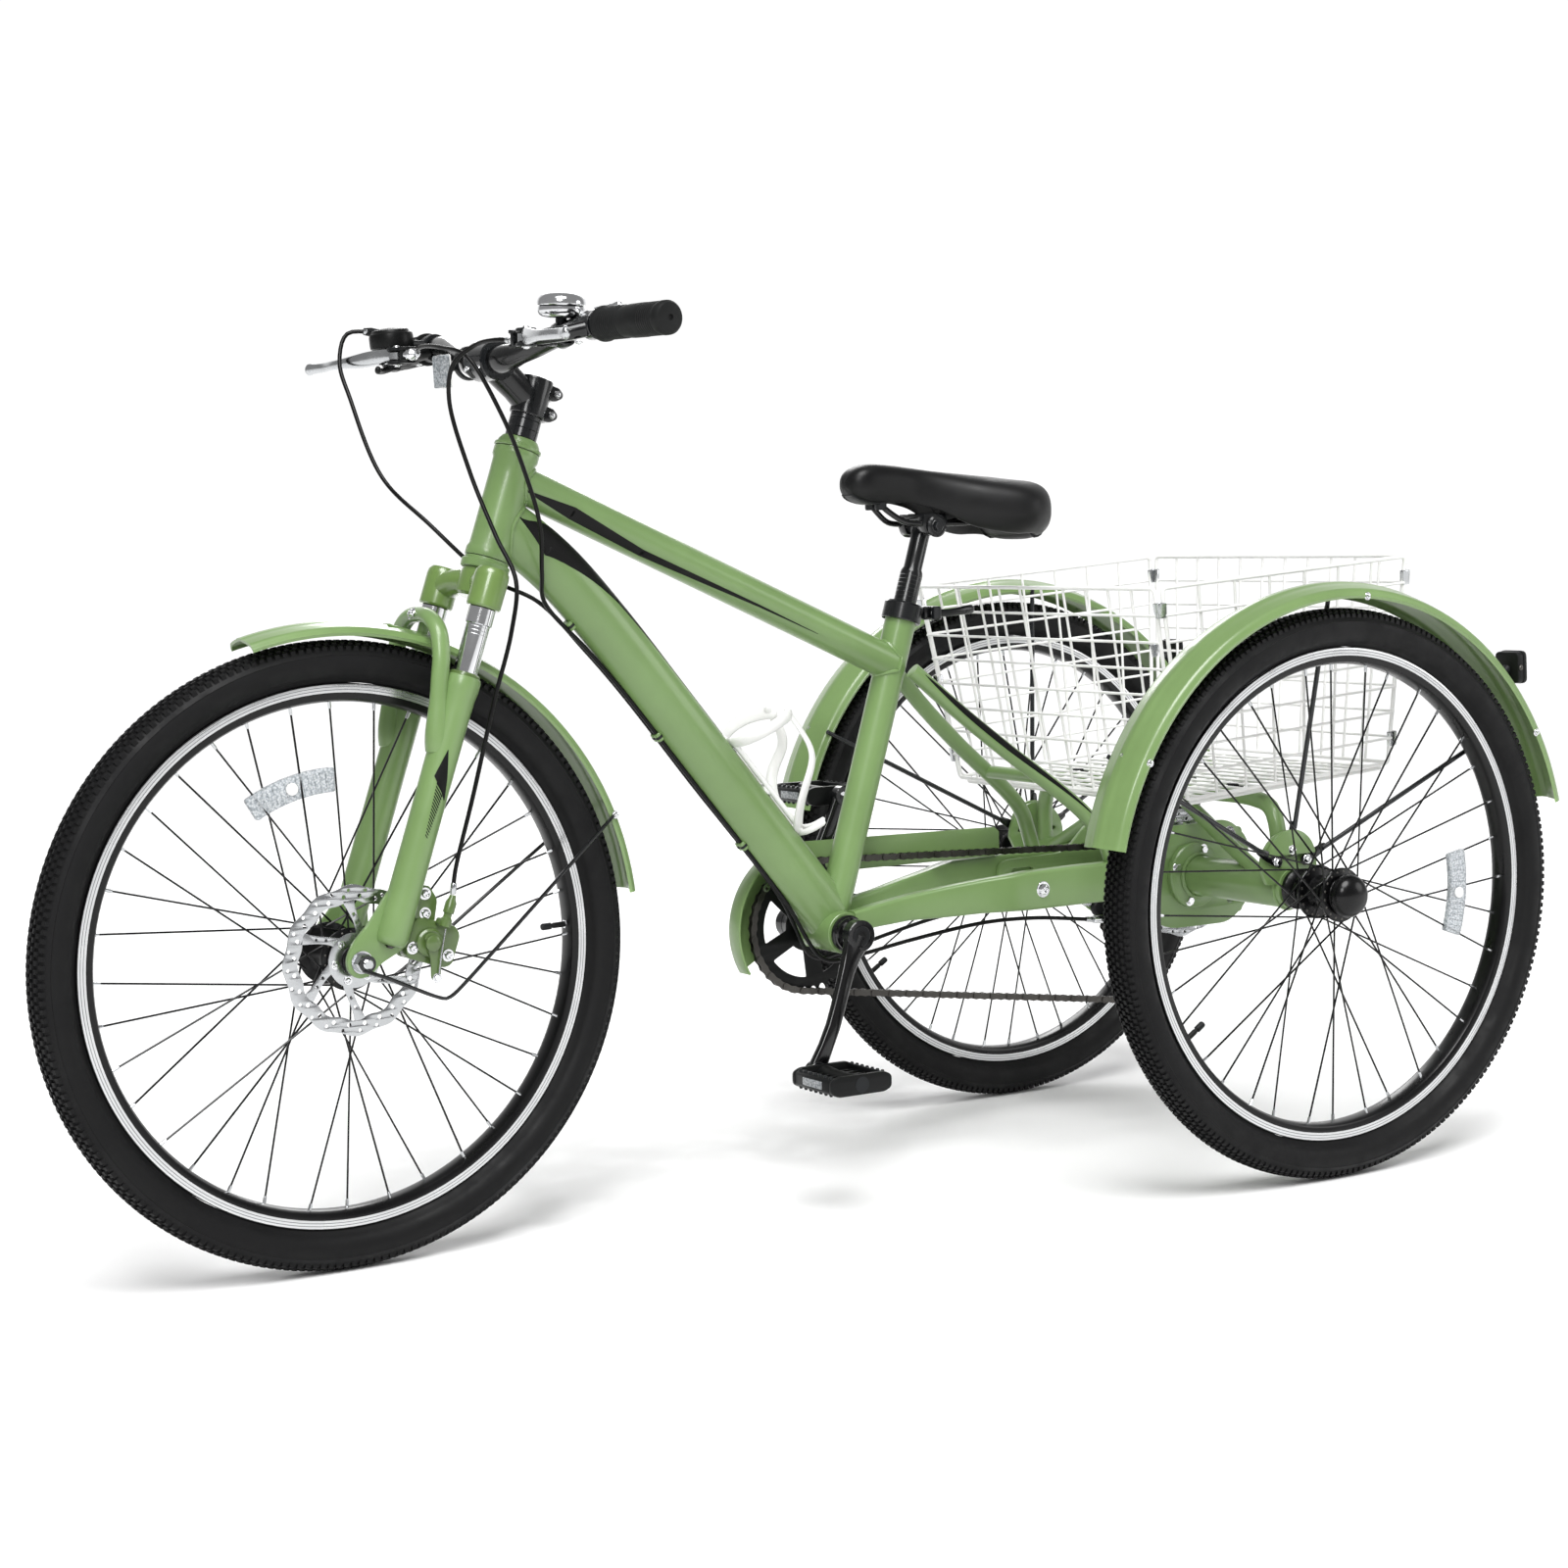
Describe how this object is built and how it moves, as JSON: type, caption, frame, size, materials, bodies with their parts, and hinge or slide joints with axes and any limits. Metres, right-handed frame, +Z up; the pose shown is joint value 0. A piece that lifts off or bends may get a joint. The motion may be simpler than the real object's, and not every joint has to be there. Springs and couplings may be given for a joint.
{
  "type": "adult tricycle",
  "caption": "Adult tricycle with a sloping frame, suspension fork, disc brakes, rear derailleur drive, mudguards and a wire basket over the rear axle.",
  "frame": {"origin": "middle of the footprint on the ground, half-way between the front of the front tyre and the rear ends of the mudguards, on the centre plane", "axes": "+X forward along the length, +Y to the rider's left, +Z up"},
  "size_m": [1.7962, 0.717, 1.0138],
  "materials": {
    "frame_paint": "semi-gloss sage green paint",
    "fender_paint": "semi-gloss sage green paint on formed sheet",
    "hardware_paint": "olive painted casting",
    "black_plastic": "satin black moulding",
    "white_plastic": "white moulding",
    "white_coated_wire": "white plastic-coated wire",
    "black_alloy": "satin black finish",
    "crank_black": "gloss black finish",
    "dark_steel": "oiled dark steel",
    "cable_sheath": "black outer sheath",
    "saddle_skin": "smooth black synthetic skin",
    "grip_rubber": "moulded black rubber",
    "bare_alloy": "satin silver",
    "bright_metal": "bright plated",
    "clear_plastic": "clear prismatic reflector",
    "rotor_steel": "ground steel",
    "wheel_black": "black rim and hub",
    "tyre": "black tyre"
  },
  "bodies": {
    "frame": {"main_frame": "frame_paint", "rear_carrier": "frame_paint", "rear_fender_left": "fender_paint", "rear_fender_right": "fender_paint", "tail_light_left": "black_plastic", "tail_light_right": "black_plastic", "chain_guard": "fender_paint", "bottle_cage": "white_plastic", "basket_floor": "white_coated_wire", "basket_front": "white_coated_wire", "basket_rear": "white_coated_wire", "basket_left": "white_coated_wire", "basket_right": "white_coated_wire", "seat_clamp": "black_alloy", "headset_lower": "frame_paint", "headset_upper": "frame_paint", "rear_brake_caliper": "black_plastic", "chain": "dark_steel", "cable_rear_brake": "cable_sheath", "cable_shift": "cable_sheath"},
    "seat_lever": {"seat_clamp_lever": "black_alloy"},
    "seatpost": {"seatpost": "black_alloy"},
    "saddle": {"saddle_rails": "black_alloy", "saddle_cover": "saddle_skin"},
    "steering": {"fork_crown": "frame_paint", "headset_spacers": "black_alloy", "stem": "black_alloy", "handlebar": "black_alloy", "grip_left": "grip_rubber", "grip_right": "grip_rubber", "lever_clamp_left": "black_alloy", "shifter_body": "black_plastic", "bell": "bright_metal", "front_reflector": "clear_plastic", "cable_front_brake": "cable_sheath"},
    "brake_lever_left": {"brake_lever_left": "bare_alloy"},
    "brake_lever_right": {"brake_lever_right": "bare_alloy"},
    "shift_lever": {"shift_lever": "black_plastic"},
    "bell_striker": {"bell_striker": "bright_metal"},
    "fork_slider": {"fork_lowers": "frame_paint", "front_fender": "fender_paint", "front_brake_caliper": "hardware_paint", "axle_front": "bright_metal"},
    "front_brake_arm": {"front_brake_arm": "hardware_paint"},
    "front_wheel": {"wheel_front": "wheel_black", "tyre_front": "tyre", "rotor_front": "rotor_steel"},
    "rear_wheel_left": {"wheel_rear_left": "wheel_black", "tyre_rear_left": "tyre"},
    "rear_drive": {"wheel_rear_right": "wheel_black", "tyre_rear_right": "tyre", "axle_rear": "rotor_steel"},
    "cassette": {"cassette": "dark_steel"},
    "rear_brake_arm": {"rear_brake_arm": "black_alloy"},
    "derailleur": {"rear_derailleur": "black_plastic"},
    "crankset": {"crank_left": "crank_black", "crank_right": "crank_black", "chainring": "black_plastic"},
    "pedal_left": {"pedal_left": "black_plastic"},
    "pedal_right": {"pedal_right": "black_plastic"}
  },
  "joints": [
    {"name": "steering", "type": "hinge", "parent": "frame", "child": "steering", "pos_m": [0.338, 0, 0.861], "axis": [-0.3256, 0, 0.9455], "range_deg": [-60, 60], "deforming": ["cable_shift", "cable_rear_brake"]},
    {"name": "fork_travel", "type": "slide", "parent": "steering", "child": "fork_slider", "axis": [-0.3256, 0, 0.9455], "range_m": [0, 0.05], "stiffness_N_per_m": 20000, "springref_m": -0.015, "deforming": ["cable_front_brake"]},
    {"name": "front_wheel_spin", "type": "hinge", "parent": "fork_slider", "child": "front_wheel", "pos_m": [0.565, 0, 0.333], "axis": [0, 1, 0], "continuous": true},
    {"name": "front_brake_arm_pull", "type": "hinge", "parent": "fork_slider", "child": "front_brake_arm", "pos_m": [0.48975, 0.068, 0.34728], "axis": [0, 1, 0], "range_deg": [0, 24], "stiffness_Nm_per_rad": 0.5, "springref_deg": -5.73},
    {"name": "rear_left_wheel_spin", "type": "hinge", "parent": "frame", "child": "rear_wheel_left", "pos_m": [-0.548, 0.3175, 0.333], "axis": [0, 1, 0], "continuous": true},
    {"name": "rear_drive_spin", "type": "hinge", "parent": "frame", "child": "rear_drive", "pos_m": [-0.548, -0.3175, 0.333], "axis": [0, 1, 0], "continuous": true},
    {"name": "cassette_spin", "type": "hinge", "parent": "frame", "child": "cassette", "pos_m": [-0.548, -0.035, 0.333], "axis": [0, 1, 0], "continuous": true},
    {"name": "rear_brake_arm_pull", "type": "hinge", "parent": "frame", "child": "rear_brake_arm", "pos_m": [-0.456, 0.026, 0.292], "axis": [0, -1, 0], "range_deg": [0, 24], "stiffness_Nm_per_rad": 0.5, "springref_deg": -5.73},
    {"name": "derailleur_pivot", "type": "hinge", "parent": "frame", "child": "derailleur", "pos_m": [-0.496, -0.055, 0.284], "axis": [0, 1, 0], "range_deg": [-5, 15], "stiffness_Nm_per_rad": 4, "springref_deg": -8.59, "deforming": ["chain"]},
    {"name": "crank_spin", "type": "hinge", "parent": "frame", "child": "crankset", "pos_m": [-0.051, 0, 0.303], "axis": [0, 1, 0], "continuous": true},
    {"name": "pedal_left_spin", "type": "hinge", "parent": "crankset", "child": "pedal_left", "pos_m": [0.02519, 0.137, 0.15664], "axis": [0, 1, 0], "continuous": true},
    {"name": "pedal_right_spin", "type": "hinge", "parent": "crankset", "child": "pedal_right", "pos_m": [-0.12719, -0.137, 0.44936], "axis": [0, 1, 0], "continuous": true},
    {"name": "seatpost_height", "type": "slide", "parent": "frame", "child": "seatpost", "axis": [-0.2928, 0, 0.9562], "range_m": [-0.04, 0.08]},
    {"name": "saddle_tilt", "type": "hinge", "parent": "seatpost", "child": "saddle", "pos_m": [-0.194, 0, 0.77], "axis": [0, -1, 0], "range_deg": [-8, 8]},
    {"name": "seat_lever_swing", "type": "hinge", "parent": "frame", "child": "seat_lever", "pos_m": [-0.198, 0.02, 0.668], "axis": [0, 0, -1], "range_deg": [0, 120]},
    {"name": "brake_lever_left_squeeze", "type": "hinge", "parent": "steering", "child": "brake_lever_left", "pos_m": [0.404, 0.156, 0.9705], "axis": [0, 0, 1], "range_deg": [0, 20], "stiffness_Nm_per_rad": 0.8, "springref_deg": -8.59},
    {"name": "brake_lever_right_squeeze", "type": "hinge", "parent": "steering", "child": "brake_lever_right", "pos_m": [0.404, -0.156, 0.9705], "axis": [0, 0, -1], "range_deg": [0, 20], "stiffness_Nm_per_rad": 0.8, "springref_deg": -8.59},
    {"name": "shift_lever_push", "type": "hinge", "parent": "steering", "child": "shift_lever", "pos_m": [0.39, -0.199, 0.96], "axis": [0, 0, -1], "range_deg": [0, 25], "stiffness_Nm_per_rad": 0.3, "springref_deg": -8.59},
    {"name": "bell_striker_flick", "type": "hinge", "parent": "steering", "child": "bell_striker", "pos_m": [0.325, 0.167, 0.998], "axis": [0, 0, 1], "range_deg": [0, 20], "stiffness_Nm_per_rad": 0.05, "springref_deg": -11.46}
  ],
  "couplings": [
    {"joint": "front_brake_arm_pull", "follows": "brake_lever_left_squeeze", "ratio": 1.2},
    {"joint": "rear_brake_arm_pull", "follows": "brake_lever_right_squeeze", "ratio": 1.2},
    {"joint": "cassette_spin", "follows": "crank_spin", "ratio": 2.7018}
  ]
}
